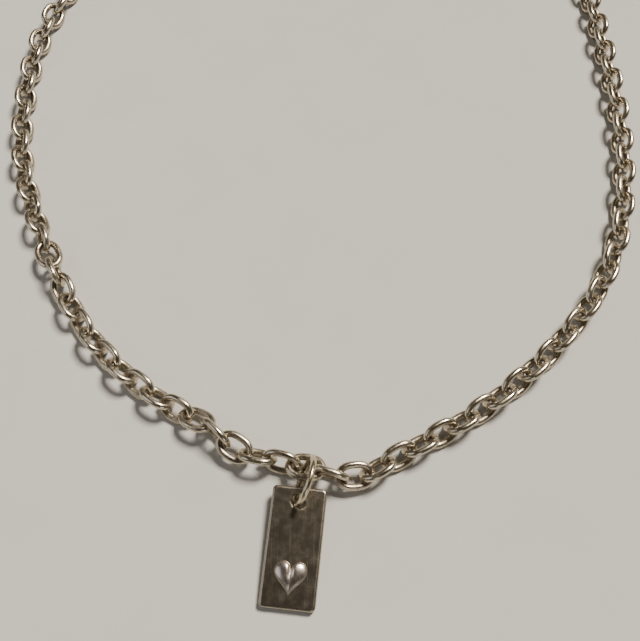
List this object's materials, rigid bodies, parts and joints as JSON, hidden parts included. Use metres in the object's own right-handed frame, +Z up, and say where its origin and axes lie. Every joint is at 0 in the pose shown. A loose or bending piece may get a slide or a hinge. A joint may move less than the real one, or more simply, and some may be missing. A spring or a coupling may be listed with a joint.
{
  "type": "pendant necklace",
  "caption": "Oval-link cable chain necklace with a jump ring carrying a flat rectangular tag with a raised heart, closed by a lobster clasp.",
  "frame": {"origin": "middle of the bounding box at the height of the surface it lies on", "axes": "+Z up out of the surface it lies on, +Y from the tag toward the clasp, +X to the right with the tag at the bottom"},
  "size_m": [0.1314, 0.1836, 0.0086],
  "materials": {
    "chain_silver": "polished sterling silver, lightly worn and toned",
    "tag_silver": "brushed sterling silver with fine scratches",
    "heart_silver": "polished sterling silver dome",
    "ring_silver": "polished sterling silver wire",
    "clasp_silver": "polished sterling silver casting",
    "pin_steel": "plain stainless steel"
  },
  "bodies": {
    "front_link": {"front_link": "chain_silver"},
    "right_segment_1": {"right_segment_1": "chain_silver"},
    "right_segment_2": {"right_segment_2": "chain_silver"},
    "right_segment_3": {"right_segment_3": "chain_silver"},
    "right_segment_4": {"right_segment_4": "chain_silver"},
    "right_segment_5": {"right_segment_5": "chain_silver"},
    "right_segment_6": {"right_segment_6": "chain_silver"},
    "right_segment_7": {"right_segment_7": "chain_silver"},
    "right_segment_8": {"right_segment_8": "chain_silver"},
    "right_segment_9": {"right_segment_9": "chain_silver"},
    "right_segment_10": {"right_segment_10": "chain_silver"},
    "left_segment_1": {"left_segment_1": "chain_silver"},
    "left_segment_2": {"left_segment_2": "chain_silver"},
    "left_segment_3": {"left_segment_3": "chain_silver"},
    "left_segment_4": {"left_segment_4": "chain_silver"},
    "left_segment_5": {"left_segment_5": "chain_silver"},
    "left_segment_6": {"left_segment_6": "chain_silver"},
    "left_segment_7": {"left_segment_7": "chain_silver"},
    "left_segment_8": {"left_segment_8": "chain_silver"},
    "left_segment_9": {"left_segment_9": "chain_silver"},
    "left_segment_10": {"left_segment_10": "chain_silver"},
    "pendant_ring": {"pendant_ring": "ring_silver"},
    "tag": {"tag": "tag_silver", "heart": "heart_silver"},
    "end_ring": {"end_ring": "clasp_silver"},
    "clasp_ring": {"clasp_ring": "clasp_silver"},
    "clasp": {"clasp_body": "clasp_silver", "clasp_pin": "pin_steel", "clasp_spring": "pin_steel"},
    "clasp_lever": {"clasp_lever": "clasp_silver"}
  },
  "joints": [
    {"name": "right_bend_1", "type": "hinge", "parent": "front_link", "child": "right_segment_1", "pos_m": [0.00026, -0.06981, 0.00253], "axis": [0.1822, 0.9611, -0.2075], "range_deg": [-45, 30]},
    {"name": "right_bend_2", "type": "hinge", "parent": "right_segment_1", "child": "right_segment_2", "pos_m": [0.01934, -0.06405, 0.00195], "axis": [0.332, -0.6243, 0.7071], "range_deg": [-60, 60]},
    {"name": "right_bend_3", "type": "hinge", "parent": "right_segment_2", "child": "right_segment_3", "pos_m": [0.03677, -0.05241, 0.00195], "axis": [0.4418, -0.5521, -0.7071], "range_deg": [-60, 60]},
    {"name": "right_bend_4", "type": "hinge", "parent": "right_segment_3", "child": "right_segment_4", "pos_m": [0.05101, -0.03704, 0.00195], "axis": [-0.5572, 0.4353, -0.7071], "range_deg": [-60, 60]},
    {"name": "right_bend_5", "type": "hinge", "parent": "right_segment_4", "child": "right_segment_5", "pos_m": [0.05973, -0.01803, 0.00195], "axis": [-0.6738, 0.2146, 0.7071], "range_deg": [-60, 60]},
    {"name": "right_bend_6", "type": "hinge", "parent": "right_segment_5", "child": "right_segment_6", "pos_m": [0.06321, 0.00266, 0.00195], "axis": [0.7032, -0.0739, 0.7071], "range_deg": [-60, 60]},
    {"name": "right_bend_7", "type": "hinge", "parent": "right_segment_6", "child": "right_segment_7", "pos_m": [0.06376, 0.02365, 0.00195], "axis": [0.7071, 0.0031, -0.7071], "range_deg": [-60, 60]},
    {"name": "right_bend_8", "type": "hinge", "parent": "right_segment_7", "child": "right_segment_8", "pos_m": [0.06326, 0.04464, 0.00195], "axis": [-0.7064, -0.0308, -0.7071], "range_deg": [-60, 60]},
    {"name": "right_bend_9", "type": "hinge", "parent": "right_segment_8", "child": "right_segment_9", "pos_m": [0.05891, 0.065, 0.00195], "axis": [-0.6528, -0.2718, 0.7071], "range_deg": [-60, 60]},
    {"name": "right_bend_10", "type": "hinge", "parent": "right_segment_9", "child": "right_segment_10", "pos_m": [0.04477, 0.0802, 0.00195], "axis": [0.4068, 0.5784, 0.7071], "range_deg": [-60, 60]},
    {"name": "left_bend_1", "type": "hinge", "parent": "front_link", "child": "left_segment_1", "pos_m": [-0.00545, -0.06881, 0.00218], "axis": [0.1822, 0.9611, -0.2075], "range_deg": [-30, 45]},
    {"name": "left_bend_2", "type": "hinge", "parent": "left_segment_1", "child": "left_segment_2", "pos_m": [-0.0239, -0.05965, 0.00185], "axis": [-0.4473, -0.7967, 0.4065], "range_deg": [-45, 45]},
    {"name": "left_bend_3", "type": "hinge", "parent": "left_segment_2", "child": "left_segment_3", "pos_m": [-0.04034, -0.04674, 0.00195], "axis": [-0.5058, -0.4941, -0.7071], "range_deg": [-60, 60]},
    {"name": "left_bend_4", "type": "hinge", "parent": "left_segment_3", "child": "left_segment_4", "pos_m": [-0.05142, -0.02897, 0.00248], "axis": [0.1394, 0.071, -0.9877], "range_deg": [-45, 45]},
    {"name": "left_bend_5", "type": "hinge", "parent": "left_segment_4", "child": "left_segment_5", "pos_m": [-0.05975, -0.0097, 0.00195], "axis": [-0.6601, -0.2534, 0.7071], "range_deg": [-60, 60]},
    {"name": "left_bend_6", "type": "hinge", "parent": "left_segment_5", "child": "left_segment_6", "pos_m": [-0.06347, 0.01091, 0.00195], "axis": [0.7041, 0.0647, 0.7071], "range_deg": [-60, 60]},
    {"name": "left_bend_7", "type": "hinge", "parent": "left_segment_6", "child": "left_segment_7", "pos_m": [-0.06286, 0.03185, 0.00195], "axis": [0.7011, -0.0923, -0.7071], "range_deg": [-60, 60]},
    {"name": "left_bend_8", "type": "hinge", "parent": "left_segment_7", "child": "left_segment_8", "pos_m": [-0.05694, 0.05199, 0.00195], "axis": [-0.6678, 0.2326, -0.7071], "range_deg": [-60, 60]},
    {"name": "left_bend_9", "type": "hinge", "parent": "left_segment_8", "child": "left_segment_9", "pos_m": [-0.04742, 0.07061, 0.00195], "axis": [-0.5862, 0.3954, 0.7071], "range_deg": [-60, 60]},
    {"name": "left_bend_10", "type": "hinge", "parent": "left_segment_9", "child": "left_segment_10", "pos_m": [-0.03179, 0.08441, 0.00195], "axis": [0.3734, -0.6005, 0.7071], "range_deg": [-60, 60]},
    {"name": "clasp_ring_swing", "type": "hinge", "parent": "right_segment_10", "child": "clasp_ring", "pos_m": [0.02466, 0.08521, 0.00313], "axis": [0.1377, -0.7123, 0.6882], "range_deg": [-45, 45]},
    {"name": "end_ring_swing", "type": "hinge", "parent": "left_segment_10", "child": "end_ring", "pos_m": [-0.01166, 0.0897, 0.00313], "axis": [0.2234, -0.6903, -0.6882], "range_deg": [-45, 45]},
    {"name": "clasp_swing", "type": "hinge", "parent": "clasp_ring", "child": "clasp", "pos_m": [0.02089, 0.08534, 0.00294], "axis": [-0.0175, -0.4997, -0.866], "range_deg": [-45, 45]},
    {"name": "lever_hinge", "type": "hinge", "parent": "clasp", "child": "clasp_lever", "pos_m": [0.01643, 0.08423, 0.00227], "axis": [0.1664, -0.2107, -0.9633], "range_deg": [0, 20], "stiffness_Nm_per_rad": 0.00002, "springref_deg": -20.05},
    {"name": "ring_swing", "type": "hinge", "parent": "front_link", "child": "pendant_ring", "pos_m": [-0.00293, -0.07111, 0.00275], "axis": [-0.9304, 0.2528, 0.2656], "range_deg": [-20, 0]},
    {"name": "tag_swing", "type": "hinge", "parent": "pendant_ring", "child": "tag", "pos_m": [-0.0027, -0.07213, 0.00431], "axis": [-0.9304, 0.2528, 0.2656], "range_deg": [-10, 75]}
  ]
}
